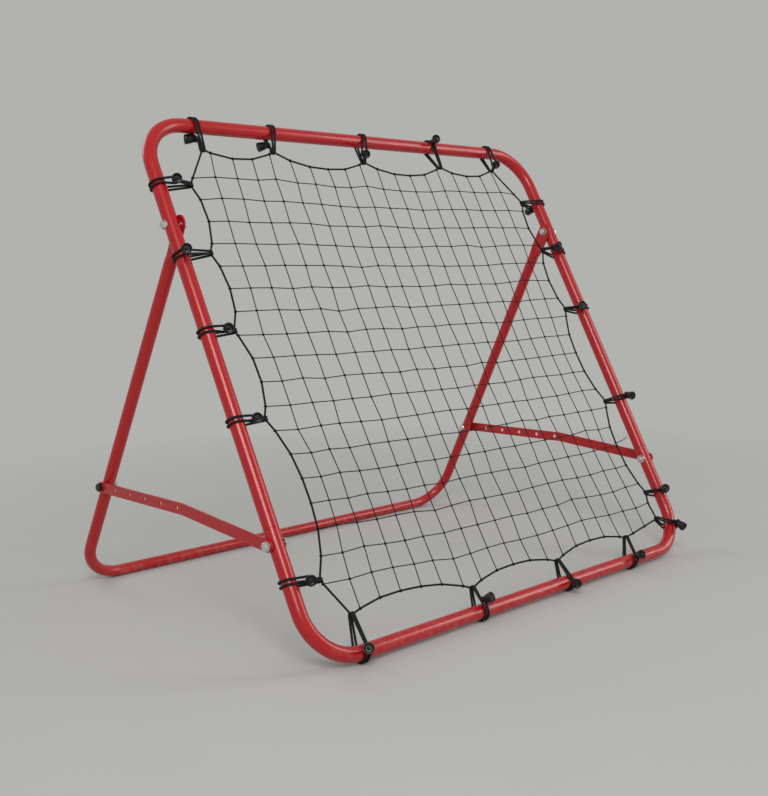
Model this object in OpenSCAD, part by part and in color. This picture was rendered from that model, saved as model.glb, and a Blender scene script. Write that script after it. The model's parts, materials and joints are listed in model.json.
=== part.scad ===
// Pitch back rebounder: a net held by elastic cords in a leaning tube frame, with a folding rear leg
// and two perforated braces. Millimetres, +Z up, +X to the right of the thrower's view, front on -Y.

/* [Front frame] */
// Width between the axes of the two uprights
frame_w = 975; // [975:5:1050]
// Height between the axes of the bottom and top tubes, along the frame
frame_h = 940; // [930:5:980]
// Outer diameter of the frame tube
frame_tube_d = 25; // [24:0.5:27]
// Wall thickness of all tubes
tube_wall = 1.2; // [1:0.1:2]
// Bend radius of the frame corners, to the tube's axis
frame_bend_r = 85; // [75:1:87]
// Lean of the frame back from upright, in degrees
frame_lean = 27.5; // [25:0.5:30]
// Height of the joint between the lower and upper halves, along the frame
frame_joint_s = 216; // [210:1:240]

/* [Rear leg] */
// Height of the leg's pivot, along the frame
pivot_s = 742; // [730:1:755]
// Length of the leg from its pivot to the axis of its bottom bar
leg_len = 762; // [755:1:770]
// Outer diameter of the leg tube
leg_tube_d = 22; // [21:0.5:23]
// Bend radius of the leg's bottom corners, to the tube's axis
leg_bend_r = 80; // [60:1:110]
// How far inside the frame's upright the leg's upright starts, axis to axis
leg_inset_top = 18; // [17.5:0.5:19]
// How far outside the frame's upright the leg's upright ends, axis to axis
leg_flare = 10; // [4:0.5:10]
// Width of the leg's flattened top end
tongue_w = 30; // [26:1:34]

/* [Braces] */
// Height of the brace's front bolt, along the frame
brace_s = 191; // [185:1:195]
// Distance of the brace's rear bolt from the leg's pivot, along the leg
brace_leg_u = 536; // [530:1:540]
// Width of the brace bar
brace_w = 20; // [18:1:24]
// Thickness of the brace bar
brace_t = 3; // [2.5:0.5:4]
// Length of the brace from its front bolt to its bend
brace_front_len = 240; // [220:5:260]
// Number of open adjusting holes
adjust_holes = 5; // [3:1:5]
// Distance between adjusting holes
adjust_pitch = 53; // [40:1:55]

/* [Net and cords] */
// Diameter of one strand of elastic cord
elastic_d = 4; // [3.5:0.1:4.4]
// Diameter of the cord along the edge of the net
border_d = 3.6; // [3:0.2:4.6]
// Thickness of the net, as a flat sheet
net_t = 2; // [1:0.5:3]
// Pull-in of the net's edge between two cords, as a share of their distance
edge_sag = 0.1; // [0:0.01:0.15]
// Largest diameter of a toggle
toggle_d = 18; // [16:1:20]
// Length of a toggle
toggle_len = 16; // [13:1:17]

/* [Hidden] */
$fn = 64;

// Elastic cords, clockwise from the top left. Each is: side, place of its loop on the tube, place of its
// net point along the same side, distance from the tube's axis to the net point, then its toggle's
// place as [inward, forward] of the tube's axis, its direction as [along, inward, forward], and
// whether the toggle is behind.
BUNGEES = [
  ["top", -381, -376, 46, [21, 5.5], [1, -0.15, 0.44], true],
  ["top", -216, -222, 40, [17, 11.5], [1, 0.08, 0.49], true],
  ["top", 8, -3, 48, [32, 7], [0.82, 0.81, 1], false],
  ["top", 202, 212, 46, [-3.5, 20], [0.57, 0.29, 1], false],
  ["top", 379, 377, 44, [37, 13.5], [0.95, 0.8, 1], false],
  ["right", 811, 814, 51, [-3, 19.5], [0.3, -0.35, 1], true],
  ["right", 687, 695, 48, [32.5, 16.5], [-0.22, -0.35, 1], false],
  ["right", 547, 549, 54, [16, 12], [-0.19, 0.87, 1], false],
  ["right", 330, 329, 50, [-2, 19.5], [-0.5, 0.33, 1], false],
  ["right", 114, 120, 44, [9.5, 19], [-0.09, 0.85, 1], false],
  ["right", 42, 62, 46, [-1, 20], [-1, -0.25, 0.88], false],
  ["bottom", 306, 320, 44, [3, 18.5], [-0.41, -0.03, 1], false],
  ["bottom", 103, 101, 41, [-5.5, 19.5], [-0.99, -0.31, 1], false],
  ["bottom", -131, -130, 41, [15.5, 14.5], [0.27, 0.04, 1], false],
  ["bottom", -400, -395, 58, [0.5, 19.5], [-0.74, 0.07, 1], false],
  ["left", 129, 122, 56, [29.5, 12.5], [0.27, -0.63, 1], false],
  ["left", 392, 391, 54, [33.5, 6], [0.29, -0.55, 1], false],
  ["left", 546, 546, 52, [32.5, 11], [0.39, -0.57, 1], false],
  ["left", 684, 689, 56, [-3.5, 22], [0.42, -0.62, 1], false],
  ["left", 817, 820, 62, [24, 16], [0.45, -0.47, 1], false],
];
SIDES = ["top", "right", "bottom", "left"];

// Tube and bolt sizes
frame_r = frame_tube_d / 2;
leg_r = leg_tube_d / 2;
half_w = frame_w / 2;
bolt_r = 4;
bolt_hole_r = 4.08;
head_r = 7.5;
head_t = 5.3;
head_chamfer = 0.8;
crown_r = 6.4;
crown_top_r = 5.6;
nut_t = 6.5;
nut_collar = 1.6;
dome_t = 2.4;
dome_top_r = 4.5;
thread_end = 2;
washer_r = 8;
washer_t = 1.4;
thin_washer_t = 1;
spigot_gap = 0.05;
spigot_len = 45;
play = 0.3;

// Elastic cord and toggle
elastic_r = elastic_d / 2;
wrap_gap = 0.1;
wrap_r = frame_r + elastic_r + wrap_gap;
strand_split = 4;
strand_join = 2.2;
knot_r = 5;
eye_len = 3;
toggle_gap = 0.2;
eye_wall = 0.4;
// Pieces of one solid that meet end to end run this far into each other, one this much thinner.
nest_len = 0.3;
cord_nest = 0.03;
tube_nest = 0.1;
neck_nest = 0.35;
border_gap = 0.4;
net_clear = 7;

// The frame stands on the elastic cords that pass under its bottom tube, the slanted ones lowest.
slanted_loop = 0.25;
frame_z = wrap_r + elastic_r + slanted_loop;
pivot_y = pivot_s * sin(frame_lean);
pivot_z = frame_z + pivot_s * cos(frame_lean);
leg_lean = acos((pivot_z - leg_r) / leg_len);
bar_y = pivot_y + leg_len * sin(leg_lean);
// The toggles stand this far in front of the bottom tube's axis.
front_reach = 39.5;
front_y = (front_reach - bar_y - leg_r) / 2;

// Leg
leg_x_top = half_w - leg_inset_top;
leg_x_bar = half_w + leg_flare;
leg_splay = atan((leg_x_bar - leg_x_top) / leg_len);
joint_below_brace = 20;
leg_joint_u = brace_leg_u + joint_below_brace;
lip = 1;
tongue_t = 3;
tongue_x = half_w - frame_r - thin_washer_t - play - tongue_t;
tongue_top = 2;
tongue_end = 46;
tongue_blend = 16;

// Brace, in the upright plane beside the frame
brace_gap = 1.2;
brace_x = half_w + frame_r + brace_gap;
brace_a = [brace_s * sin(frame_lean), frame_z + brace_s * cos(frame_lean)];
brace_b = [pivot_y + brace_leg_u * sin(leg_lean), pivot_z - brace_leg_u * cos(leg_lean)];
brace_bend = asin((brace_b[1] - brace_a[1]) / brace_front_len);
brace_k = brace_a + brace_front_len * [cos(brace_bend), sin(brace_bend)];
cap_r = 8;
cap_t = 7;
cap_chamfer = 2;
adjuster_gap = 0.6;

function side_index(i) = len([for (k = [0:i]) if (BUNGEES[k][0] == BUNGEES[i][0]) k]);
function bungee_name(i) = str("bungee_", BUNGEES[i][0], "_", side_index(i));
BUNGEE_NAMES = [for (i = [0:len(BUNGEES) - 1]) bungee_name(i)];
TOGGLE_NAMES = [for (s = SIDES) str("toggles_", s)];

// ---- Placing ----

// Puts a drawing of the front frame, x across, y up the frame, z forward, in its leaning place.
module in_frame() {
  translate([0, front_y, frame_z])
    rotate([90 - frame_lean, 0, 0])
      children();
}

// Puts a drawing of the leg, x across, y down the leg, z backward, in its leaning place.
module in_leg() {
  translate([0, front_y + pivot_y, pivot_z])
    rotate([leg_lean - 90, 0, 0])
      children();
}

// Both sides of something drawn on the right.
module both_sides() {
  children();
  mirror([1, 0, 0]) children();
}

// Points a cylinder drawn along +Z from one point to another.
module between(a, b) {
  d = b - a;
  translate(a)
    rotate([0, acos(d[2] / norm(d)), atan2(d[1], d[0])])
      children();
}

function unit(v) = v / norm(v);

// How far a point on an upright has gone into the bottom bend, in degrees.
function bend_turn(along) =
  along < frame_bend_r ? asin((frame_bend_r - along) / frame_bend_r) : 0;

// Where an upright's axis is at a height along the frame.
function upright_x(along) = half_w - frame_bend_r * (1 - cos(bend_turn(along)));

// The loop's own frame: x along the tube, y inward to the net, z forward.
module on_side(side, along) {
  if (side == "bottom")
    translate([along, 0, 0]) children();
  if (side == "top")
    translate([along, frame_h, 0]) rotate(180) children();
  if (side == "right")
    translate([upright_x(along), along, 0]) rotate(90 - bend_turn(along)) children();
  if (side == "left")
    translate([-upright_x(along), along, 0]) rotate(bend_turn(along) - 90) children();
}

// The net point of cord b in the frame's plane.
function net_point(b) =
  b[0] == "bottom" ? [b[2], b[3]] :
  b[0] == "top" ? [b[2], frame_h - b[3]] :
  b[0] == "right" ? [half_w - b[3], b[2]] :
  [b[3] - half_w, b[2]];

// Where the loop of cord b sits in the frame's plane, and the loop frame's angle.
function loop_place(b) =
  b[0] == "bottom" ? [b[1], 0] :
  b[0] == "top" ? [b[1], frame_h] :
  b[0] == "right" ? [upright_x(b[1]), b[1]] :
  [-upright_x(b[1]), b[1]];
function loop_angle(b) =
  b[0] == "bottom" ? 0 :
  b[0] == "top" ? 180 :
  b[0] == "right" ? 90 - bend_turn(b[1]) :
  bend_turn(b[1]) - 90;

// The net point of cord b in its loop's own frame.
function net_local(b) =
  let (d = net_point(b) - loop_place(b), a = loop_angle(b))
  [d[0] * cos(a) + d[1] * sin(a), d[1] * cos(a) - d[0] * sin(a), 0];

// ---- Tubes ----

module ring2d(r, thinner = 0) {
  difference() {
    circle(r - thinner);
    circle(r - tube_wall + thinner);
  }
}

// A straight tube along +Y from one place to another.
module run(r, from, to) {
  translate([0, from, 0])
    rotate([-90, 0, 0])
      linear_extrude(to - from) ring2d(r);
}

// A bend of a tube in the XY plane, from +X towards +Y, that runs on into the straight tubes' walls.
module bend(r, bend_r, turn) {
  extra = atan(nest_len / bend_r);
  rotate(-extra)
    rotate_extrude(angle = turn + 2 * extra)
      translate([bend_r, 0]) ring2d(r, tube_nest);
}

// The tapered lip of a tube of radius r where it joins the next, with the spigot that goes into that one.
module spigot(r, joint) {
  run(r - tube_wall - spigot_gap, joint - spigot_len, joint + 3 * lip);
  translate([0, joint, 0])
    rotate([-90, 0, 0])
      difference() {
        cylinder(r1 = r - lip, r2 = r, h = lip);
        cylinder(r = r - 2 * tube_wall, h = 3 * lip, center = true);
      }
}

// A bolt's hole across a tube, along X.
module cross_hole(x, y) {
  translate([x, y, 0])
    rotate([0, 90, 0])
      cylinder(r = bolt_hole_r, h = 4 * frame_r, center = true);
}

// ---- Front frame ----

module frame_lower_tube() {
  color("firebrick")
    in_frame()
      difference() {
        union() {
          rotate(-90) run(frame_r, frame_bend_r - half_w, half_w - frame_bend_r);
          both_sides() {
            translate([half_w - frame_bend_r, frame_bend_r, 0])
              rotate(-90) bend(frame_r, frame_bend_r, 90);
            translate([half_w, 0, 0]) run(frame_r, frame_bend_r, frame_joint_s);
          }
        }
        both_sides() cross_hole(half_w, brace_s);
      }
}

module frame_upper_tube() {
  color("firebrick")
    in_frame()
      difference() {
        union() {
          translate([0, frame_h, 0])
            rotate(90) run(frame_r, frame_bend_r - half_w, half_w - frame_bend_r);
          both_sides() {
            translate([half_w - frame_bend_r, frame_h - frame_bend_r, 0])
              bend(frame_r, frame_bend_r, 90);
            translate([half_w, 0, 0]) {
              run(frame_r, frame_joint_s + lip - nest_len, frame_h - frame_bend_r);
              spigot(frame_r, frame_joint_s);
            }
          }
        }
        both_sides() {
          cross_hole(half_w, brace_s);
          cross_hole(half_w, pivot_s);
        }
      }
}

// ---- Fasteners ----

// A hexagonal bolt along +X: its head's inner face at 0, its end at -length.
module hex_bolt(length) {
  rotate([0, 90, 0]) {
    cylinder(r = head_r, h = head_t - head_chamfer, $fn = 6);
    translate([0, 0, head_t - head_chamfer])
      cylinder(r1 = crown_r, r2 = crown_top_r, h = head_chamfer);
    translate([0, 0, -length]) cylinder(r = bolt_r, h = length);
  }
}

// A locking nut along -X from 0, with its collar.
module lock_nut() {
  rotate([0, -90, 0])
    difference() {
      union() {
        cylinder(r = head_r, h = nut_t - nut_collar, $fn = 6);
        translate([0, 0, nut_t - nut_collar])
          cylinder(r1 = crown_r, r2 = crown_top_r, h = nut_collar);
      }
      cylinder(r = bolt_r, h = 4 * nut_t, center = true);
    }
}

// A washer along -X from 0.
module washer(t) {
  rotate([0, -90, 0])
    linear_extrude(t)
      difference() {
        circle(washer_r);
        circle(bolt_hole_r);
      }
}

pivot_head_x = half_w + frame_r + washer_t;
pivot_nut_x = tongue_x - play - washer_t;
brace_nut_x = half_w - frame_r - washer_t;
brace_head_x = brace_x + brace_t + play + washer_t;

module pivot_bolts() {
  color("silver")
    in_frame()
      both_sides()
        translate([pivot_head_x, pivot_s, 0])
          hex_bolt(pivot_head_x - pivot_nut_x + nut_t + thread_end);
}

module pivot_washers() {
  color("silver")
    in_frame()
      both_sides()
        translate([0, pivot_s, 0]) {
          translate([pivot_head_x, 0, 0]) washer(washer_t);
          translate([half_w - frame_r, 0, 0]) washer(thin_washer_t);
          translate([pivot_nut_x + washer_t, 0, 0]) washer(washer_t);
        }
}

module pivot_nuts() {
  color("silver")
    in_frame()
      both_sides()
        translate([pivot_nut_x, pivot_s, 0]) lock_nut();
}

module brace_bolts() {
  color("silver")
    in_frame()
      both_sides()
        translate([brace_head_x, brace_s, 0])
          hex_bolt(brace_head_x - brace_nut_x + nut_t + thread_end);
}

module brace_washers() {
  color("silver")
    in_frame()
      both_sides()
        translate([0, brace_s, 0]) {
          translate([brace_head_x, 0, 0]) washer(washer_t);
          translate([brace_x - play, 0, 0]) washer(brace_gap - play);
          translate([half_w - frame_r, 0, 0]) washer(washer_t);
        }
}

module brace_nuts() {
  color("silver")
    in_frame()
      both_sides()
        translate([brace_nut_x, brace_s, 0]) lock_nut();
}

// ---- Rear leg ----

// Drawing along one upright of the leg, from its top on the right side.
module on_leg_upright() {
  translate([leg_x_top, 0, 0]) rotate(-leg_splay) children();
}

leg_y_scale = 1 / cos(leg_splay);

module leg_lower_tube() {
  tangent = leg_bend_r * tan((90 + leg_splay) / 2);
  centre_x = leg_x_bar - tangent;
  upright_end = leg_len * leg_y_scale - tangent;
  joint = leg_joint_u * leg_y_scale;
  color("firebrick")
    in_leg()
      difference() {
        union() {
          translate([0, leg_len, 0]) rotate(90) run(leg_r, -centre_x, centre_x);
          both_sides() {
            translate([centre_x, leg_len - leg_bend_r, 0])
              rotate(-leg_splay) bend(leg_r, leg_bend_r, 90 + leg_splay);
            on_leg_upright() {
              run(leg_r, joint + lip - nest_len, upright_end);
              spigot(leg_r, joint);
            }
          }
        }
        both_sides() cross_hole(half_w, brace_leg_u);
      }
}

// The flat top end of the leg's upright, with its round end.
module tongue() {
  translate([tongue_x, 0, 0])
    rotate([0, 90, 0])
      linear_extrude(tongue_t)
        union() {
          translate([0, -tongue_top]) circle(tongue_w / 2);
          translate([-tongue_w / 2, -tongue_top]) square([tongue_w, tongue_end + tongue_top]);
        }
}

// The stretch where the flat end opens out into the round tube.
module tongue_neck() {
  hull() {
    translate([tongue_x + neck_nest, tongue_end - nest_len, neck_nest - tongue_w / 2])
      cube([tongue_t - 2 * neck_nest, 2 * nest_len, tongue_w - 2 * neck_nest]);
    on_leg_upright()
      translate([0, tongue_end + tongue_blend, 0])
        rotate([-90, 0, 0]) cylinder(r = leg_r - neck_nest, h = nest_len, $fn = 32);
  }
}

// The right upright of the leg, drawn in the leg's own plane.
module leg_upright() {
  difference() {
    union() {
      on_leg_upright() run(leg_r, tongue_end + tongue_blend, leg_joint_u * leg_y_scale);
      tongue_neck();
      tongue();
    }
    cross_hole(tongue_x, 0);
    cross_hole(half_w, brace_leg_u);
  }
}

module leg_upright_right() {
  color("firebrick") in_leg() leg_upright();
}

module leg_upright_left() {
  color("firebrick") in_leg() mirror([1, 0, 0]) leg_upright();
}

// Where the leg's tube is at the brace's rear bolt.
leg_x_brace = leg_x_top + brace_leg_u * tan(leg_splay);

// The nut on the inside of the leg, with the bolt's end in it.
module adjuster_nuts() {
  inner = leg_x_brace - leg_r - adjuster_gap;
  color("silver")
    in_leg()
      both_sides()
        translate([0, brace_leg_u, 0]) {
          translate([inner, 0, 0])
            rotate([0, -90, 0]) {
              cylinder(r = head_r, h = nut_t - nut_collar, $fn = 6);
              translate([0, 0, nut_t - nut_collar])
                cylinder(r1 = crown_r, r2 = dome_top_r, h = dome_t);
            }
          translate([inner - nest_len, 0, 0])
            rotate([0, 90, 0]) cylinder(r = bolt_r, h = leg_x_brace + leg_r - inner);
        }
}

// ---- Braces ----

// A round hole or disc at a point of the brace's side view.
module at_yz(p) {
  translate([p[0], p[1]]) children();
}

// A straight bar between two points of the side view, with round ends.
module bar2d(a, b) {
  d = b - a;
  translate(a)
    rotate(atan2(d[1], d[0]))
      translate([0, tube_nest - brace_w / 2]) square([norm(d), brace_w - 2 * tube_nest]);
  at_yz(a) circle(brace_w / 2);
  at_yz(b) circle(brace_w / 2);
}

// The right brace: drawn in side view, then stood up beside the frame.
module brace() {
  translate([brace_x, front_y, 0])
    rotate([90, 0, 90])
      linear_extrude(brace_t)
        difference() {
          union() {
            bar2d(brace_a, brace_k);
            bar2d(brace_k, brace_b);
          }
          at_yz(brace_a) circle(bolt_hole_r);
          for (i = [0:adjust_holes])
            at_yz(brace_b - [i * adjust_pitch, 0]) circle(bolt_hole_r);
        }
}

module brace_right() {
  color("firebrick") brace();
}

module brace_left() {
  color("firebrick") mirror([1, 0, 0]) brace();
}

// The adjusting bolt's capped head and its shank in the brace.
module adjuster_bolt() {
  translate([brace_x, front_y + brace_b[0], brace_b[1]])
    rotate([0, 90, 0]) {
      cylinder(r = bolt_r, h = brace_t + nest_len);
      translate([0, 0, brace_t]) {
        cylinder(r = cap_r, h = cap_t - cap_chamfer);
        translate([0, 0, cap_t - cap_chamfer])
          cylinder(r1 = cap_r, r2 = cap_r - cap_chamfer, h = cap_chamfer);
      }
    }
}

module adjuster_bolt_right() {
  color("#202020") adjuster_bolt();
}

module adjuster_bolt_left() {
  color("#202020") mirror([1, 0, 0]) adjuster_bolt();
}

// ---- Elastic cords and toggles ----

// Where a cord's toggle eye is, in its loop's frame.
function eye_local(b) =
  let (net = net_local(b))
  [net[0] * b[4][0] / net[1], b[4][0], b[4][1]];

// A straight strand between two points of the loop's plane, started a little early at each end.
module strand(a, b, thinner = cord_nest) {
  d = b - a;
  translate(a)
    rotate(atan2(d[1], d[0]))
      translate([-nest_len, 0, 0])
        rotate([0, 90, 0])
          cylinder(r = elastic_r - thinner, h = norm(d) + 2 * nest_len);
}

// An arc of strand in the loop's plane.
module arc(r, from, to) {
  rotate(from)
    rotate_extrude(angle = to - from)
      translate([r, 0]) circle(elastic_r);
}

// One strand, drawn in its own flat plane: from the toggle's eye round the tube to the net point, and
// back to the eye, either straight or round the front of the tube.
module strand_loop(r, eye, net) {
  eye_turn = atan2(eye[1], eye[0]);
  eye_touch = acos(r / norm(eye));
  net_touch = acos(r / norm(net));
  start = eye_turn + eye_touch;
  finish = 360 - net_touch;
  arc(r, start, finish);
  strand(r * [cos(start), sin(start)], eye);
  strand(r * [cos(finish), sin(finish)], net);
  if (eye[0] < 0) {
    arc(r, net_touch, eye_turn - eye_touch);
    strand(r * [cos(eye_turn - eye_touch), sin(eye_turn - eye_touch)], eye, 3 * cord_nest);
    strand(r * [cos(net_touch), sin(net_touch)], net, 3 * cord_nest);
  } else {
    strand(eye, net, 3 * cord_nest);
  }
}

// One elastic cord in its loop's frame: two strands side by side, that meet at the net point.
module elastic(eye, net, aim) {
  for (k = [-1, 1]) {
    slant = atan((net[0] + k * (strand_join - strand_split)) / net[1]);
    translate([k * strand_split, 0, 0])
      rotate(-slant)
        rotate([90, 0, 90])
          strand_loop(wrap_r / cos(slant), [eye[1] / cos(slant), eye[2]], [net[1] / cos(slant), 0]);
  }
  spread = strand_split - (strand_split - strand_join) * eye[1] / net[1];
  between(eye - eye_len * unit(aim), eye + eye_len * unit(aim))
    cylinder(r = spread + elastic_r + eye_wall, h = 2 * eye_len);
  translate(net) sphere(knot_r);
}

// Everything of one cord in its loop's frame, turned over where the toggle is behind.
module in_loop(b) {
  in_frame()
    on_side(b[0], b[1])
      mirror([0, 0, b[6] ? 1 : 0])
        children();
}

module bungee(b) {
  color("#1c1c1c") in_loop(b) elastic(eye_local(b), net_local(b), b[5]);
}

// Outline of a toggle, as shares of its radius and of its length.
TOGGLE_OUTLINE = [[0, 0], [0.62, 0], [0.82, 0.35], [0.93, 0.7], [1, 0.91], [0.95, 1], [0.6, 1], [0, 0.82]];

// A toggle along +Z from its eye: a narrow neck that widens to a dished round end.
module toggle() {
  translate([0, 0, eye_len + toggle_gap])
    rotate_extrude()
      polygon([for (p = TOGGLE_OUTLINE) [p[0] * toggle_d / 2, p[1] * toggle_len]]);
}

module toggles(side) {
  color("#262626")
    for (b = BUNGEES)
      if (b[0] == side)
        in_loop(b) between(eye_local(b), eye_local(b) + b[5]) toggle();
}

// ---- Net ----

NET_POINTS = [for (b = BUNGEES) net_point(b)];
NET_COUNT = len(NET_POINTS);
centre = [0, frame_h / 2];

// How far the net's edge is pulled in between cords i and i + 1: none across a corner.
function span_sag(i) =
  let (j = (i + 1) % NET_COUNT)
  BUNGEES[i][0] == BUNGEES[j][0] ? edge_sag * norm(NET_POINTS[j] - NET_POINTS[i]) : 0;

// A point of the span from p to q at share t, pulled in by sag at its middle.
function span_point(p, q, sag, t) =
  let (d = unit(q - p))
  p + t * (q - p) + sag * 4 * t * (1 - t) * [d[1], -d[0]];

// One length of the border cord between two net points, swept along its arc.
module border_span(i) {
  p = NET_POINTS[i];
  q = NET_POINTS[(i + 1) % NET_COUNT];
  rings = 9;
  corners = 8;
  trim = (knot_r + border_gap) / norm(q - p);
  ts = [for (k = [0:rings - 1]) trim + (1 - 2 * trim) * k / (rings - 1)];
  at = [for (t = ts) span_point(p, q, span_sag(i), t)];
  ahead = [for (k = [0:rings - 1]) unit(at[min(k + 1, rings - 1)] - at[max(k - 1, 0)])];
  points = [
    for (k = [0:rings - 1])
      for (c = [0:corners - 1])
        let (a = 360 * c / corners, r = border_d / 2)
        [at[k][0] - ahead[k][1] * r * cos(a), at[k][1] + ahead[k][0] * r * cos(a), r * sin(a)]
  ];
  walls = [
    for (k = [0:rings - 2])
      for (c = [0:corners - 1])
        let (n = (c + 1) % corners)
        [k * corners + c, k * corners + n, (k + 1) * corners + n, (k + 1) * corners + c]
  ];
  first = [for (c = [0:corners - 1]) corners - 1 - c];
  last = [for (c = [0:corners - 1]) (rings - 1) * corners + c];
  polyhedron(points, concat([first, last], walls));
}

module net_border_cord() {
  color("#1c1c1c")
    in_frame()
      for (i = [0:NET_COUNT - 1]) border_span(i);
}

// The net as one flat sheet just inside its border cord.
module net() {
  steps = 6;
  inner = [for (p = NET_POINTS) p + net_clear * unit(centre - p)];
  outline = [
    for (i = [0:NET_COUNT - 1])
      for (k = [0:steps - 1])
        span_point(inner[i], inner[(i + 1) % NET_COUNT], span_sag(i), k / steps)
  ];
  color("#3a3a3a")
    in_frame()
      translate([0, 0, -net_t / 2])
        linear_extrude(net_t) polygon(outline);
}

// ---- Nodes ----

frame_lower_tube();
frame_upper_tube();
pivot_bolts();
pivot_washers();
pivot_nuts();
brace_bolts();
brace_washers();
brace_nuts();
net();
net_border_cord();
for (i = [0:len(BUNGEES) - 1])
  bungee(BUNGEES[i]);
for (i = [0:len(SIDES) - 1])
  toggles(SIDES[i]);
leg_lower_tube();
leg_upright_left();
leg_upright_right();
adjuster_nuts();
brace_left();
brace_right();
adjuster_bolt_left();
adjuster_bolt_right();
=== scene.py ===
import json
import math

import bpy
import numpy as np
from mathutils import Matrix, Vector


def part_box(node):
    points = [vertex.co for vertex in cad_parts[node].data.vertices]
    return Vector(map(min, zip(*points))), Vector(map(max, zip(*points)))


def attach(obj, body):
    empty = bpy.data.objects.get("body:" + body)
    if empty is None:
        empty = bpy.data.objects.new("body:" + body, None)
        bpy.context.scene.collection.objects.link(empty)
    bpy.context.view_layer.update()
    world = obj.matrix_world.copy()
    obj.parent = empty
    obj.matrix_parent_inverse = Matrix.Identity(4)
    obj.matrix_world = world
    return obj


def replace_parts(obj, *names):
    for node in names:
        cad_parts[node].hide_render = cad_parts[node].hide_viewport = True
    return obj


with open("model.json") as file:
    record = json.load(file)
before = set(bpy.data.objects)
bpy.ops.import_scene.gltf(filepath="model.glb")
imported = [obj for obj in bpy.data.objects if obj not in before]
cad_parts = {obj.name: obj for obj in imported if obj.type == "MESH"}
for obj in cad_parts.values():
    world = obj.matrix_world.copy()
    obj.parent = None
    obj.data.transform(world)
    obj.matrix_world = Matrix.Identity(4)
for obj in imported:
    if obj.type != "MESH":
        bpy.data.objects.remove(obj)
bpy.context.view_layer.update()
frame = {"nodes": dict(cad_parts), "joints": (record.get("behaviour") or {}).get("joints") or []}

# ---- Sizes, in metres ----

MM = 0.001
TUBE_R = 12.5 * MM
BEND_R = 85 * MM  # bends of the front frame, to the tube's axis
ELASTIC_R = 2 * MM
WRAP_R = TUBE_R + ELASTIC_R + 0.1 * MM  # an elastic cord's axis, where it lies on the tube
STRAND_SPLIT = 3.8 * MM  # each strand's distance from the loop's middle, on the tube
STRAND_JOIN = 2.15 * MM  # the same, at the net's rope
ROPE_R = 1.8 * MM
HITCH_R = ROPE_R + ELASTIC_R + 0.1 * MM  # an elastic cord's axis, where it goes round the rope
NECK_R = 3.6 * MM  # a toggle's neck, inside the cord
TWINE_R = 0.85 * MM
SEED = 7

# Elastic cords, clockwise from the top left, in millimetres. Each is: side, place of its loop on the tube,
# place of its net point along the same side, distance from the tube's axis to the net point, then its
# toggle's place as (inward, forward) of the tube's axis, its direction as (along, inward, forward), and
# whether the toggle is behind.
BUNGEES = [
    ("top", -381, -376, 46, (21, 5.5), (1, -0.15, 0.44), True),
    ("top", -216, -222, 40, (17, 11.5), (1, 0.08, 0.49), True),
    ("top", 8, -3, 48, (32, 7), (0.82, 0.81, 1), False),
    ("top", 202, 212, 46, (-3.5, 20), (0.57, 0.29, 1), False),
    ("top", 379, 377, 44, (37, 13.5), (0.95, 0.8, 1), False),
    ("right", 811, 814, 51, (-3, 19.5), (0.3, -0.35, 1), True),
    ("right", 687, 695, 48, (32.5, 16.5), (-0.22, -0.35, 1), False),
    ("right", 547, 549, 54, (16, 12), (-0.19, 0.87, 1), False),
    ("right", 330, 329, 50, (-2, 19.5), (-0.5, 0.33, 1), False),
    ("right", 114, 120, 44, (9.5, 19), (-0.09, 0.85, 1), False),
    ("right", 42, 62, 46, (-1, 20), (-1, -0.25, 0.88), False),
    ("bottom", 306, 320, 44, (3, 18.5), (-0.41, -0.03, 1), False),
    ("bottom", 103, 101, 41, (-5.5, 19.5), (-0.99, -0.31, 1), False),
    ("bottom", -131, -130, 41, (15.5, 14.5), (0.27, 0.04, 1), False),
    ("bottom", -400, -395, 58, (0.5, 19.5), (-0.74, 0.07, 1), False),
    ("left", 129, 122, 56, (29.5, 12.5), (0.27, -0.63, 1), False),
    ("left", 392, 391, 54, (33.5, 6), (0.29, -0.55, 1), False),
    ("left", 546, 546, 52, (32.5, 11), (0.39, -0.57, 1), False),
    ("left", 684, 689, 56, (-3.5, 22), (0.42, -0.62, 1), False),
    ("left", 817, 820, 62, (24, 16), (0.45, -0.47, 1), False),
]
SIDES = ("top", "right", "bottom", "left")

# How far the net pulls its rope in between two cords, as a share of their distance
EDGE_SAG = {"top": 0.118, "right": 0.135, "bottom": 0.08, "left": 0.122}

# Where the net's strings reach the rope on each side: place of the first one, and distance to the next
STRINGS = 18
STRING_ENDS = {
    "top": (-362 * MM, 43.2 * MM),
    "right": (98.5 * MM, 43.4 * MM),
    "bottom": (-375 * MM, 45.2 * MM),
    "left": (115 * MM, 42.3 * MM),
}

# The net's last string ends in a loose tail on the right: where it leaves the rope, and how far it runs
TAIL_S = 236 * MM
TAIL_RUN = (41 * MM, 7 * MM, 3 * MM)

# ---- The front frame's own axes: x across, s up the frame, n forward ----

JOINT_AT = {j["name"]: Vector(j["pos_m"]) for j in frame["joints"]}
lower_low, lower_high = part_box("frame_lower_tube")
frame_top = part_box("frame_upper_tube")[1].z
ORIGIN = np.array([0, lower_low.y + TUBE_R, lower_low.z + TUBE_R])
to_pivot = np.array(JOINT_AT["leg_fold"]) - ORIGIN
LEAN = math.atan2(to_pivot[1], to_pivot[2])
ACROSS = np.array([1.0, 0, 0])
UP = np.array([0, math.sin(LEAN), math.cos(LEAN)])
FORWARD = np.array([0, -math.cos(LEAN), math.sin(LEAN)])
HALF_W = lower_high.x - TUBE_R
FRAME_H = (frame_top - TUBE_R - ORIGIN[2]) / math.cos(LEAN)


def in_frame(points):
    """Points given as (x, s, n) in the front frame's axes, in the row frame."""
    p = np.asarray(points, float)
    return ORIGIN + p[..., 0:1] * ACROSS + p[..., 1:2] * UP + p[..., 2:3] * FORWARD


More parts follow.
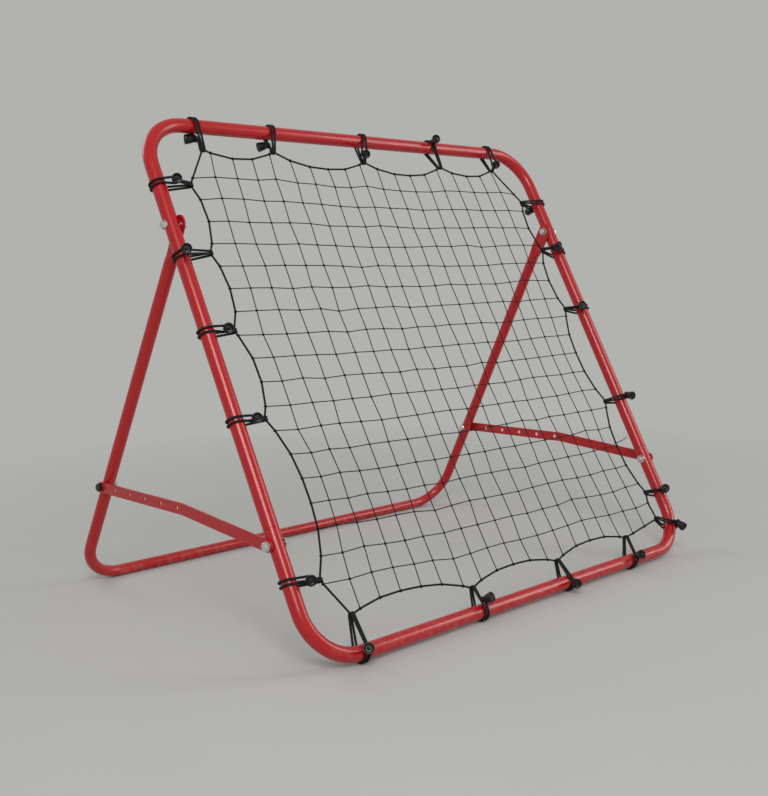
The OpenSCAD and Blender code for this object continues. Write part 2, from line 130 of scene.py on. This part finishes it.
def unit(v):
    v = np.asarray(v, float)
    return v / np.linalg.norm(v, axis=-1, keepdims=True)


# ---- Mesh making ----


class Soup:
    """Vertices, faces and their UVs, gathered from many tubes into one mesh."""

    def __init__(self):
        self.points, self.faces, self.uvs, self.count = [], [], [], 0

    def add(self, points, faces, uvs):
        self.points.append(np.asarray(points, float))
        self.faces += [[i + self.count for i in face] for face in faces]
        self.uvs += uvs
        self.count += len(points)

    def piece(self, name, material, sharp_angle=None):
        mesh = bpy.data.meshes.new(name)
        mesh.from_pydata(np.vstack(self.points).tolist(), [], self.faces)
        layer = mesh.uv_layers.new(name="UVMap")
        layer.data.foreach_set("uv", np.array(self.uvs, np.float32).ravel())
        mesh.shade_smooth()
        if sharp_angle is not None:
            mesh.set_sharp_from_angle(angle=math.radians(sharp_angle))
        mesh.materials.append(material)
        mesh.validate()
        piece = bpy.data.objects.new(name, mesh)
        bpy.context.scene.collection.objects.link(piece)
        return piece


def lengths_along(path):
    return np.concatenate([[0], np.cumsum(np.linalg.norm(np.diff(path, axis=0), axis=1))])


def resampled(path, step):
    """The path with its points about step apart."""
    along = lengths_along(path)
    at = np.linspace(0, along[-1], max(3, int(round(along[-1] / step)) + 1))
    return np.stack([np.interp(at, along, path[:, k]) for k in range(3)], axis=1)


def smoothed(path, passes, closed=False):
    """The path with its corners rounded. An open path keeps its ends."""
    for _ in range(passes):
        before, after = np.roll(path, 1, axis=0), np.roll(path, -1, axis=0)
        eased = 0.25 * before + 0.5 * path + 0.25 * after
        if not closed:
            eased[0], eased[-1] = path[0], path[-1]
        path = eased
    return path


def tangents_of(path, closed=False):
    if closed:
        return unit(np.roll(path, -1, axis=0) - np.roll(path, 1, axis=0))
    return unit(np.gradient(path, axis=0))


def turning_frames(path, closed=False):
    """Two directions across the path at each point, that turn with it as little as they can."""
    tangents = tangents_of(path, closed)
    start = np.cross(tangents[0], FORWARD)
    if np.linalg.norm(start) < 0.2:
        start = np.cross(tangents[0], ACROSS)
    sides = [unit(start)]
    for tangent in tangents[1:]:
        side = sides[-1] - tangent * (sides[-1] @ tangent)
        sides.append(unit(side))
    sides = np.array(sides)
    return sides, np.cross(tangents, sides)


def plane_frames(path, closed=False):
    """Two directions across a path that lies in the net's plane: in the plane, and forward of it."""
    tangents = tangents_of(path, closed)
    inward = unit(np.cross(np.broadcast_to(FORWARD, tangents.shape), tangents))
    return inward, np.cross(tangents, inward)


def sweep(soup, path, radii, corners, frames, closed=False):
    """Adds a tube along the path. radii is one number, or an array of rings by corners."""
    rings = len(path)
    turn = 2 * math.pi * np.arange(corners) / corners
    radii = np.broadcast_to(np.asarray(radii, float), (rings, corners))
    across, over = frames
    points = (
        path[:, None, :]
        + (radii * np.cos(turn))[:, :, None] * across[:, None, :]
        + (radii * np.sin(turn))[:, :, None] * over[:, None, :]
    ).reshape(-1, 3)
    along = lengths_along(path)
    if closed:
        along = np.append(along, along[-1] + np.linalg.norm(path[0] - path[-1]))
    faces, uvs = [], []
    for k in range(rings if closed else rings - 1):
        ahead = (k + 1) % rings
        for c in range(corners):
            beside = (c + 1) % corners
            faces.append(
                [k * corners + c, k * corners + beside, ahead * corners + beside, ahead * corners + c]
            )
            v0, v1 = c / corners, (c + 1) / corners
            uvs += [(along[k], v0), (along[k], v1), (along[k + 1], v1), (along[k + 1], v0)]
    if not closed:
        last = (rings - 1) * corners
        faces += [list(range(corners))[::-1], [last + c for c in range(corners)]]
        uvs += [(0, 0)] * (2 * corners)
    soup.add(points, faces, uvs)


# ---- Materials ----


class Shader:
    """A material's node tree, with short calls for the nodes that all of them use."""

    def __init__(self, name, **settings):
        self.material = bpy.data.materials.new(name)
        self.material.use_nodes = True
        self.tree = self.material.node_tree
        self.bsdf = self.tree.nodes["Principled BSDF"]
        for socket, value in settings.items():
            self.bsdf.inputs[socket.replace("_", " ")].default_value = value
        coordinates = self.tree.nodes.new("ShaderNodeTexCoord")
        self.place = coordinates.outputs["Object"]
        self.uv = coordinates.outputs["UV"]

    def link(self, source, target):
        self.tree.links.new(source, target)

    def noise(self, scale, detail=2.0, where=None):
        node = self.tree.nodes.new("ShaderNodeTexNoise")
        node.inputs["Scale"].default_value = scale
        node.inputs["Detail"].default_value = detail
        self.link(where or self.place, node.inputs["Vector"])
        return node.outputs["Fac"]

    def math(self, operation, a, b=None):
        node = self.tree.nodes.new("ShaderNodeMath")
        node.operation = operation
        for socket, value in zip(node.inputs, (a, b)):
            if value is None:
                continue
            if isinstance(value, (int, float)):
                socket.default_value = value
            else:
                self.link(value, socket)
        return node.outputs["Value"]

    def ranged(self, value, low, high, to_low=0.0, to_high=1.0):
        node = self.tree.nodes.new("ShaderNodeMapRange")
        for name, number in (
            ("From Min", low), ("From Max", high), ("To Min", to_low), ("To Max", to_high)
        ):
            node.inputs[name].default_value = number
        self.link(value, node.inputs["Value"])
        return node.outputs["Result"]

    def mixed(self, share, a, b):
        """A colour between a and b. Each is a colour or another node's output."""
        node = self.tree.nodes.new("ShaderNodeMix")
        node.data_type = "RGBA"
        colour_inputs = [s for s in node.inputs if s.type == "RGBA"]
        self.link(share, node.inputs["Factor"])
        for socket, value in zip(colour_inputs, (a, b)):
            if isinstance(value, tuple):
                socket.default_value = (*value, 1)
            else:
                self.link(value, socket)
        return [s for s in node.outputs if s.type == "RGBA"][0]

    def colour(self, value):
        self.link(value, self.bsdf.inputs["Base Color"])

    def roughness(self, value):
        self.link(value, self.bsdf.inputs["Roughness"])

    def bump(self, height, distance, strength=1.0):
        node = self.tree.nodes.new("ShaderNodeBump")
        node.inputs["Distance"].default_value = distance
        node.inputs["Strength"].default_value = strength
        self.link(height, node.inputs["Height"])
        self.link(node.outputs["Normal"], self.bsdf.inputs["Normal"])

    def along_and_around(self):
        split = self.tree.nodes.new("ShaderNodeSeparateXYZ")
        self.link(self.uv, split.inputs["Vector"])
        return split.outputs["X"], split.outputs["Y"]

    def waves(self, pitch, starts):
        """Ridges, from 0 to 1, that wind round a cord. starts counts them, and its sign is their hand."""
        along, around = self.along_and_around()
        turns = self.math("ADD", self.math("DIVIDE", along, pitch), self.math("MULTIPLY", around, starts))
        wave = self.math("SINE", self.math("MULTIPLY", turns, 2 * math.pi))
        return self.ranged(wave, -1, 1)


def red_paint():
    """Glossy red powder coat: faint orange peel, uneven gloss, a few pale scuffs, dust near the ground."""
    s = Shader("red_powder_coat", Coat_Weight=0.25, Coat_Roughness=0.1, IOR=1.45)
    tone = s.mixed(s.noise(5, 2), (0.40, 0.004, 0.007), (0.47, 0.006, 0.010))
    scratches = s.ranged(s.noise(210, 7), 0.71, 0.76, 0, 0.3)
    worn_places = s.ranged(s.noise(14, 2), 0.5, 0.6)
    scuffed = s.mixed(s.math("MULTIPLY", scratches, worn_places), tone, (0.6, 0.2, 0.19))
    split = s.tree.nodes.new("ShaderNodeSeparateXYZ")
    s.link(s.place, split.inputs["Vector"])
    low_down = s.ranged(split.outputs["Z"], 0.05, 0.0)
    dust = s.math("MULTIPLY", low_down, s.ranged(s.noise(70, 5), 0.45, 0.75, 0, 0.25))
    s.colour(s.mixed(dust, scuffed, (0.42, 0.33, 0.27)))
    s.roughness(s.ranged(s.noise(30, 3), 0.3, 0.7, 0.24, 0.32))
    s.bump(s.noise(900, 1), 0.0001, 0.2)
    return s.material


def zinc():
    """Bright zinc plate, slightly cloudy."""
    s = Shader("zinc_plate", Metallic=1.0)
    s.colour(s.mixed(s.noise(220, 4), (0.58, 0.58, 0.56), (0.84, 0.84, 0.82)))
    s.roughness(s.ranged(s.noise(400, 3), 0.3, 0.7, 0.2, 0.42))
    s.bump(s.noise(2600, 2), 0.0001, 0.4)
    return s.material


def braided_elastic():
    """Black braided sheath: two sets of crossing yarns, with painted shade in the grooves between them."""
    s = Shader("braided_elastic", IOR=1.35)
    crossing = s.math("MAXIMUM", s.waves(2.4 * MM, 3), s.waves(2.4 * MM, -3))
    # The colour follows the yarns' height. It is darker in the grooves between them and lighter on their
    # crowns: painted shade in the grooves.
    s.colour(s.mixed(crossing, (0.0015, 0.0015, 0.002), (0.009, 0.009, 0.0105)))
    s.roughness(s.ranged(crossing, 0, 1, 0.85, 0.6))
    s.bump(crossing, 0.0003, 0.8)
    return s.material


def twisted_fibre(name, dark, light, pitch):
    """Fibres that lie on a slant along a strand, with painted shade in the grooves between them."""
    s = Shader(name, IOR=1.35)
    lay = s.waves(pitch, 3)
    uneven = s.noise(500, 3)
    # The colour is darker in the grooves of the lay, which is painted shade. It is mixed with random
    # unevenness in the fibres' own tone.
    s.colour(s.mixed(s.math("MULTIPLY", lay, uneven), dark, light))
    s.roughness(s.ranged(uneven, 0.3, 0.7, 0.6, 0.85))
    s.bump(lay, 0.00015, 0.7)
    return s.material


def black_plastic(name, base):
    """Moulded satin plastic with a fine texture and a little wear."""
    s = Shader(name, IOR=1.48)
    worn = s.ranged(s.noise(260, 5), 0.62, 0.8, 0, 0.5)
    s.colour(s.mixed(worn, (base, base, base * 1.1), (base * 3, base * 3, base * 3.1)))
    s.roughness(s.ranged(s.noise(120, 4), 0.3, 0.7, 0.22, 0.36))
    s.bump(s.noise(1800, 2), 0.00012, 0.4)
    return s.material


RED = red_paint()
ZINC = zinc()
ELASTIC = braided_elastic()
TWINE = twisted_fibre("net_twine", (0.004, 0.004, 0.0045), (0.018, 0.018, 0.02), 3 * MM)
ROPE = twisted_fibre("border_rope_fibre", (0.0025, 0.0025, 0.003), (0.013, 0.013, 0.0145), 5 * MM)
TOGGLE = black_plastic("toggle_plastic", 0.003)
CAP = black_plastic("cap_plastic", 0.004)

# ---- CAD nodes that stay: better materials in their slots ----

NODE_MATERIALS = {
    "frame_": RED,
    "leg_": RED,
    "brace_left": RED,
    "brace_right": RED,
    "pivot_": ZINC,
    "brace_bolts": ZINC,
    "brace_washers": ZINC,
    "brace_nuts": ZINC,
    "adjuster_nuts": ZINC,
    "adjuster_bolt_": CAP,
}


def dress_cad_nodes():
    for name, node in frame["nodes"].items():
        for start, material in NODE_MATERIALS.items():
            if name.startswith(start):
                for slot in node.material_slots:
                    slot.material = material


# ---- Where the elastic cords are ----


def bend_turn(along):
    """How far a point on an upright has gone into the bottom bend, in radians."""
    return math.asin((BEND_R - along) / BEND_R) if along < BEND_R else 0.0


class Bungee:
    """One elastic cord's place: its loop's axes (along the tube, inward, forward), net point and toggle."""

    def __init__(self, row, name):
        side, along, net_along, reach, eye, aim, self.behind = row
        along, net_along, reach = along * MM, net_along * MM, reach * MM
        self.side, self.name = side, name
        turn = bend_turn(along) if side in ("left", "right") else 0
        self.base, self.angle = {
            "bottom": ((along, 0), 0),
            "top": ((along, FRAME_H), math.pi),
            "right": ((HALF_W - BEND_R * (1 - math.cos(turn)), along), math.pi / 2 - turn),
            "left": ((BEND_R * (1 - math.cos(turn)) - HALF_W, along), turn - math.pi / 2),
        }[side]
        self.net_point = np.array(
            {
                "bottom": (net_along, reach),
                "top": (net_along, FRAME_H - reach),
                "right": (HALF_W - reach, net_along),
                "left": (reach - HALF_W, net_along),
            }[side]
        )
        d = self.net_point - np.array(self.base)
        cos, sin = math.cos(self.angle), math.sin(self.angle)
        self.net = np.array([d[0] * cos + d[1] * sin, d[1] * cos - d[0] * sin, 0])
        eye_in, eye_out = eye[0] * MM, eye[1] * MM
        self.eye = np.array([self.net[0] * eye_in / self.net[1], eye_in, eye_out])
        self.aim = unit(aim)

    def world(self, points, directions=False):
        """Points, or directions, in the loop's axes as the row frame has them."""
        p = np.asarray(points, float)
        cos, sin = math.cos(self.angle), math.sin(self.angle)
        x = p[..., 0] * cos - p[..., 1] * sin
        s = p[..., 0] * sin + p[..., 1] * cos
        n = -p[..., 2] if self.behind else p[..., 2]
        if not directions:
            x, s = x + self.base[0], s + self.base[1]
        placed = in_frame(np.stack([x, s, n], axis=-1))
        return placed - ORIGIN if directions else placed


def all_bungees():
    made, counts = [], dict.fromkeys(SIDES, 0)
    for row in BUNGEES:
        counts[row[0]] += 1
        made.append(Bungee(row, f"{row[0]}_{counts[row[0]]}"))
    return made


ALL_BUNGEES = all_bungees()

# ---- Elastic cords ----


def arc(centre, radius, start, end, step=math.radians(7)):
    """Points (inward, forward) on a circle, anticlockwise from start to end."""
    turns = np.linspace(start, end, max(3, int(abs(end - start) / step) + 2))
    return [(centre + radius * math.cos(t), radius * math.sin(t)) for t in turns]


def touching(distance, radius):
    return math.acos(min(1.0, radius / distance))


def loop_outline(b):
    """(inward, forward) points of one strand: from the toggle round the tube and the net's rope, and back."""
    eye_in, eye_out = b.eye[1], b.eye[2]
    eye_far, eye_turn = math.hypot(eye_in, eye_out), math.atan2(eye_out, eye_in)
    eye_touch = touching(eye_far, WRAP_R)
    belt = touching(b.net[1], WRAP_R - HITCH_R)
    hooked = arc(0, WRAP_R, eye_turn + eye_touch, 2 * math.pi - belt)
    if eye_in < 0:
        hitch = arc(b.net[1], HITCH_R, -belt, belt)
        back = arc(0, WRAP_R, belt, eye_turn - eye_touch)
        return hooked, hitch, back
    from_net = (eye_in - b.net[1], eye_out)
    leave = math.atan2(from_net[1], from_net[0]) - touching(math.hypot(*from_net), HITCH_R)
    return hooked, arc(b.net[1], HITCH_R, -belt, leave), []


def strand(b, hand):
    """One strand's points in the loop's axes, from beside the toggle's neck to inside its base."""
    hooked, hitch, back = loop_outline(b)

    def placed(outline):
        points = []
        for inward, forward in outline:
            share = min(max(inward / b.net[1], 0), 1)
            beside = STRAND_SPLIT + (STRAND_JOIN - STRAND_SPLIT) * share
            points.append((b.net[0] * inward / b.net[1] + hand * beside, inward, forward))
        return points

    return placed(hooked), placed(hitch) + placed(back)


def neck_directions(b):
    """At the toggle's neck: towards the strand on the + side, and away from the tube."""
    first = np.array(strand(b, 1)[0][0])
    arriving = unit(b.eye - first * np.array([0, 1, 1]))
    side = np.cross(b.aim, arriving)
    if np.linalg.norm(side) < 0.5 or abs(side[0]) > 0.5:
        side = ACROSS - b.aim * b.aim[0]
    side = unit(side)
    if side[0] < 0 and abs(side[0]) > 0.1:
        side = -side
    away = np.cross(b.aim, side)
    return side, away if away @ arriving > 0 else -away


def keep_off_tube(points):
    """Points in a loop's axes, pushed out to where the strand just clears the tube."""
    reach = np.hypot(points[:, 1], points[:, 2])
    grow = np.maximum(1.0, WRAP_R / np.maximum(reach, 1e-6))
    return points * np.stack([np.ones_like(grow), grow, grow], axis=1)


def elastic_path(b):
    """The whole cord: out of the toggle's base, round the rope and tube, round the neck, and back."""
    side, away = neck_directions(b)
    ring = NECK_R + ELASTIC_R
    halves = []
    for hand in (1, -1):
        hooked, rest = strand(b, hand)
        base = b.eye - 3.6 * MM * b.aim + hand * 1.1 * MM * side
        halves.append([*hooked, *rest, base])
    round_neck = [
        b.eye + ring * (math.cos(t) * side + math.sin(t) * away)
        for t in np.linspace(-0.15, math.pi + 0.15, 12)
    ]
    path = np.array([*halves[0][::-1], *round_neck, *halves[1]])
    path = smoothed(resampled(path, 1.6 * MM), 3)
    return keep_off_tube(path)


def make_elastic(b):
    soup = Soup()
    path = b.world(elastic_path(b))
    sweep(soup, path, ELASTIC_R, 12, turning_frames(path))
    piece = soup.piece(f"elastic_{b.name}", ELASTIC)
    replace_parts(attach(piece, "frame"), f"bungee_{b.name}")


# ---- Toggles ----

# (distance from the eye along the toggle, radius), in millimetres, from its base round its dished end
TOGGLE_PROFILE = [
    (-4.6, 0.0), (-4.6, 2.9), (-4.3, 3.7), (-3.6, 4.3), (-2.9, 4.3), (-2.3, 3.9), (-1.9, 3.5),
    (1.9, 3.5), (2.3, 4.0), (2.8, 5.4), (3.4, 6.2), (4.2, 6.7), (9.0, 7.6), (14.4, 8.4), (17.2, 8.8),
    (18.3, 8.95), (18.9, 8.8), (19.2, 8.4), (19.2, 7.4), (19.0, 7.0), (17.6, 6.6), (16.6, 6.1),
    (16.2, 5.4), (16.0, 3.4), (16.1, 3.0), (17.2, 2.85), (18.2, 2.4), (18.8, 1.6), (19.0, 0.8),
    (19.1, 0.0),
]


def make_toggle(b):
    """A hollow moulded bell with a narrow neck for the cord and a raised boss inside its wide end."""
    corners = 40
    side, away = neck_directions(b)
    axis, across = b.world(b.aim, True), b.world(side, True)
    over = np.cross(axis, across)
    eye = b.world(b.eye)
    soup = Soup()
    turns = 2 * math.pi * np.arange(corners) / corners
    rim = np.cos(turns)[:, None] * across + np.sin(turns)[:, None] * over
    rings = [eye + along * MM * axis + radius * MM * rim for along, radius in TOGGLE_PROFILE[1:-1]]
    first, last = (eye + TOGGLE_PROFILE[k][0] * MM * axis for k in (0, -1))
    points = np.vstack([*rings, first[None], last[None]])
    faces = []
    for k in range(len(rings) - 1):
        for c in range(corners):
            n = (c + 1) % corners
            faces.append([k * corners + c, k * corners + n, (k + 1) * corners + n, (k + 1) * corners + c])
    base, tip = len(rings) * corners, len(rings) * corners + 1
    for c in range(corners):
        n = (c + 1) % corners
        faces.append([base, n, c])
        faces.append([(len(rings) - 1) * corners + c, (len(rings) - 1) * corners + n, tip])
    soup.add(points, faces, [(0, 0)] * sum(len(f) for f in faces))
    piece = soup.piece(f"toggle_{b.name}", TOGGLE, sharp_angle=40)
    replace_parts(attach(piece, "frame"), f"toggles_{b.side}")


# ---- The net's border rope ----


def span(i):
    """The rope's line between net points i and i + 1: pulled in by the net, but straight across a corner."""
    a, b = ALL_BUNGEES[i], ALL_BUNGEES[(i + 1) % len(ALL_BUNGEES)]
    p, q = a.net_point, b.net_point
    sag = EDGE_SAG[a.side] * np.linalg.norm(q - p) if a.side == b.side else 0
    along = unit(q - p)
    inward = np.array([along[1], -along[0]])
    t = np.linspace(0, 1, 60)[:-1, None]
    return p + t * (q - p) + sag * (1 - np.abs(2 * t - 1) ** 2.5) * inward


def rope_outline():
    return np.vstack([span(i) for i in range(len(ALL_BUNGEES))])


def crossings(outline, axis, value):
    """Where the closed outline crosses x = value (axis 0) or s = value (axis 1), as its other coordinate."""
    a, b = outline, np.roll(outline, -1, axis=0)
    found = (a[:, axis] - value) * (b[:, axis] - value) <= 0
    found &= a[:, axis] != b[:, axis]
    a, b = a[found], b[found]
    t = (value - a[:, axis]) / (b[:, axis] - a[:, axis])
    return a[:, 1 - axis] + t * (b[:, 1 - axis] - a[:, 1 - axis])


def string_ends(outline):
    """Where the net's strings meet the rope: along the bottom, top, left and right."""

    def along(side, axis, pick):
        first, step = STRING_ENDS[side]
        places = first + step * np.arange(STRINGS)
        met = [pick(crossings(outline, axis, place)) for place in places]
        return np.column_stack([places, met] if axis == 0 else [met, places])

    return (
        along("bottom", 0, np.min),
        along("top", 0, np.max),
        along("left", 1, np.min),
        along("right", 1, np.max),
    )


def rope_path(ends):
    """The rope as the elastic cords and the net's strings hold it, with a small corner at each."""
    corners = np.vstack([*ends, [b.net_point for b in ALL_BUNGEES]])
    turn = np.arctan2(corners[:, 1] - FRAME_H / 2, corners[:, 0])
    ring = corners[np.argsort(-turn)]
    ring = np.vstack([ring, ring[:1]])
    flat = np.column_stack([ring, np.zeros(len(ring))])
    path = smoothed(resampled(flat, 1.2 * MM)[:-1], 6, closed=True)
    return in_frame(path)


def make_rope(path):
    """Three strands laid round each other."""
    lay, offset, strand_r = 11 * MM, 0.9 * MM, 0.97 * MM
    inward, forward = plane_frames(path, closed=True)
    along = lengths_along(path)
    length = along[-1] + np.linalg.norm(path[0] - path[-1])
    turns = 2 * math.pi * round(length / lay) * along / length
    soup = Soup()
    for k in range(3):
        phase = turns + 2 * math.pi * k / 3
        line = path + offset * (np.cos(phase)[:, None] * inward + np.sin(phase)[:, None] * forward)
        sweep(soup, line, strand_r, 8, plane_frames(line, closed=True), closed=True)
    piece = soup.piece("border_rope", ROPE)
    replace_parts(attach(piece, "frame"), "net_border_cord")


# ---- The net ----


def net_grid(ends):
    """The net's knots and its strings' ends, settled as equal pulls along every string leave them."""
    bottom, top, left, right = ends
    grid = np.zeros((STRINGS + 2, STRINGS + 2, 2))
    grid[1:-1, 1:-1, 0] = bottom[:, 0][:, None]
    grid[1:-1, 1:-1, 1] = left[:, 1][None, :]
    grid[1:-1, 0], grid[1:-1, -1] = bottom, top
    grid[0, 1:-1], grid[-1, 1:-1] = left, right
    for _ in range(400):
        grid[1:-1, 1:-1] = 0.25 * (grid[:-2, 1:-1] + grid[2:, 1:-1] + grid[1:-1, :-2] + grid[1:-1, 2:])
    uneven = np.random.default_rng(SEED).normal(0, 1.3 * MM, (STRINGS, STRINGS, 3))
    placed = np.zeros((STRINGS + 2, STRINGS + 2, 3))
    placed[..., :2] = grid
    bow = np.sin(np.pi * np.arange(STRINGS + 2) / (STRINGS + 1))
    placed[..., 2] = -7 * MM * np.outer(bow, bow)
    placed[1:-1, 1:-1] += uneven * np.array([1, 1, 0.5])
    return placed


def net_string(soup, knots):
    """One string through its knots, two plies twisted together, with a little slack in each stretch."""
    twist, ply = 12 * MM, 0.16
    path = resampled(in_frame(knots), 2.6 * MM)
    path = smoothed(path, 1)
    corners = 8
    turn = 2 * math.pi * np.arange(corners) / corners
    lobes = np.cos(2 * (turn[None, :] - 2 * math.pi * lengths_along(path)[:, None] / twist))
    sweep(soup, path, TWINE_R * (1 + ply * lobes), corners, plane_frames(path))


def knot(soup, place, tilt):
    """A small hard knot where two strings cross."""
    size, corners = 0.62 * MM, 6
    t = np.linspace(0, 2 * math.pi, 24, endpoint=False)
    curve = np.column_stack(
        [np.sin(t) + 2 * np.sin(2 * t), np.cos(t) - 2 * np.cos(2 * t), -1.3 * np.sin(3 * t)]
    )
    cos, sin = math.cos(tilt), math.sin(tilt)
    turned = curve @ np.array([[cos, sin, 0], [-sin, cos, 0], [0, 0, 1]])
    path = in_frame(place + size * turned)
    sweep(soup, path, TWINE_R * 0.95, corners, turning_frames(path, closed=True), closed=True)


def wrap_on_rope(soup, place, along):
    """A string's end, hitched tightly into the rope."""
    radius, turns = ROPE_R + 0.3 * TWINE_R, 1.5
    t = np.linspace(-turns / 2, turns / 2, 30)
    inward = np.array([along[1], -along[0], 0])
    forward = np.array([0, 0, 1.0])
    path = (
        place
        + (t * 2 * TWINE_R)[:, None] * along
        + radius * np.cos(2 * math.pi * t)[:, None] * inward
        + radius * np.sin(2 * math.pi * t)[:, None] * forward
    )
    path = in_frame(path)
    sweep(soup, path, TWINE_R, 6, turning_frames(path))


def loose_tail(soup, outline):
    """The knot that ties off the net, and the short end left over."""
    start = np.array([np.max(crossings(outline, 1, TAIL_S)), TAIL_S, 0])
    t = np.linspace(0, 1, 14)[:, None]
    line = start + t * np.array(TAIL_RUN) + np.sin(np.pi * t) * np.array([0, -1.5 * MM, 1 * MM])
    path = in_frame(line)
    sweep(soup, path, TWINE_R, 8, turning_frames(path))
    for turn in (0, 1.2):
        knot(soup, start, turn)


def net_piece(name, soup):
    piece = soup.piece(name, TWINE)
    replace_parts(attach(piece, "frame"), "net")


def make_net(outline, ends):
    """The strings up the net, those across it, and the knots and hitches that hold them."""
    grid = net_grid(ends)
    up, across, ties = Soup(), Soup(), Soup()
    for k in range(1, STRINGS + 1):
        net_string(up, grid[k])
        net_string(across, grid[:, k])
    loose_tail(across, outline)
    chance = np.random.default_rng(SEED + 1)
    for place in grid[1:-1, 1:-1].reshape(-1, 3):
        knot(ties, place, chance.uniform(0, 2 * math.pi))
    for place in np.vstack(ends):
        nearest = np.argmin(np.linalg.norm(outline - place, axis=1))
        along = unit(outline[(nearest + 1) % len(outline)] - outline[nearest - 1])
        wrap_on_rope(ties, np.append(place, 0), np.append(along, 0))
    net_piece("net_strings_up", up)
    net_piece("net_strings_across", across)
    net_piece("net_knots", ties)


# ---- Camera, floor and light ----

TARGET = Vector((-0.1121, 0.25, 0.3445)) + Vector(ORIGIN)
VIEW_AZIMUTH = math.radians(-42.5)
VIEW_ELEVATION = math.radians(6.54)
VIEW_DISTANCE = 1.9305
VIEW_ROLL = math.radians(-1.38)
LENS_MM = 47.47


def aimed(place, target, roll=0.0):
    """A matrix that looks from place to target, with +Z up but for the roll."""
    forward = (target - place).normalized()
    right = forward.cross(Vector((0, 0, 1))).normalized()
    up = right.cross(forward)
    rolled = right * math.cos(roll) + up * math.sin(roll)
    up = up * math.cos(roll) - right * math.sin(roll)
    turn = Matrix((rolled, up, -forward)).transposed()
    return Matrix.Translation(place) @ turn.to_4x4()


def make_camera():
    data = bpy.data.cameras.new("camera")
    data.lens = LENS_MM
    data.sensor_width = 36
    camera = bpy.data.objects.new("camera", data)
    bpy.context.scene.collection.objects.link(camera)
    flat = math.cos(VIEW_ELEVATION)
    back = Vector((math.sin(VIEW_AZIMUTH) * flat, -math.cos(VIEW_AZIMUTH) * flat, math.sin(VIEW_ELEVATION)))
    camera.matrix_world = aimed(TARGET + VIEW_DISTANCE * back, TARGET, VIEW_ROLL)
    bpy.context.scene.camera = camera


def make_light(name, place, target, size, power, colour=(1, 1, 1)):
    data = bpy.data.lights.new(name, "AREA")
    data.shape = "RECTANGLE"
    data.size, data.size_y = size
    data.energy = power
    data.color = colour
    light = bpy.data.objects.new(name, data)
    light.matrix_world = aimed(Vector(place), Vector(target))
    bpy.context.scene.collection.objects.link(light)


def make_floor():
    """A pale floor that fades into the background away from the object."""
    radius, corners = 9.0, 96
    turns = 2 * math.pi * np.arange(corners) / corners
    rim = np.column_stack([radius * np.cos(turns), radius * np.sin(turns), np.zeros(corners)])
    mesh = bpy.data.meshes.new("floor")
    mesh.from_pydata(rim.tolist(), [], [list(range(corners))])
    s = Shader("pale_floor", Roughness=0.9)
    s.colour(s.mixed(s.noise(6, 3), (0.50, 0.50, 0.49), (0.52, 0.52, 0.51)))
    distance = s.tree.nodes.new("ShaderNodeVectorMath")
    distance.operation = "LENGTH"
    s.link(s.place, distance.inputs[0])
    clear = s.tree.nodes.new("ShaderNodeBsdfTransparent")
    fade = s.tree.nodes.new("ShaderNodeMixShader")
    share = s.ranged(distance.outputs["Value"], 0.75, 2.1)
    s.link(share, fade.inputs["Fac"])
    s.link(s.bsdf.outputs["BSDF"], fade.inputs[1])
    s.link(clear.outputs["BSDF"], fade.inputs[2])
    s.link(fade.outputs["Shader"], s.tree.nodes["Material Output"].inputs["Surface"])
    mesh.materials.append(s.material)
    floor = bpy.data.objects.new("floor", mesh)
    bpy.context.scene.collection.objects.link(floor)


def make_background():
    world = bpy.data.worlds.new("studio")
    world.use_nodes = True
    background = world.node_tree.nodes["Background"]
    background.inputs["Color"].default_value = (0.445, 0.445, 0.43, 1)
    background.inputs["Strength"].default_value = 1.0
    bpy.context.scene.world = world
    bpy.context.scene.view_settings.view_transform = "Standard"


def make_studio():
    middle = (0, 0, 0.45)
    make_light("key", (-2.2, -2.6, 2.6), middle, (1.6, 1.6), 70)
    make_light("fill", (2.6, -2.2, 1.6), middle, (1.2, 2.0), 30)
    make_light("rear", (-1.0, 2.6, 2.2), middle, (1.6, 1.6), 14)


# ---- Making everything ----

make_camera()
make_background()
make_floor()
make_studio()
dress_cad_nodes()
for bungee in ALL_BUNGEES:
    make_elastic(bungee)
    make_toggle(bungee)
rope_line = rope_outline()
tied_at = string_ends(rope_line)
make_rope(rope_path(tied_at))
make_net(rope_line, tied_at)
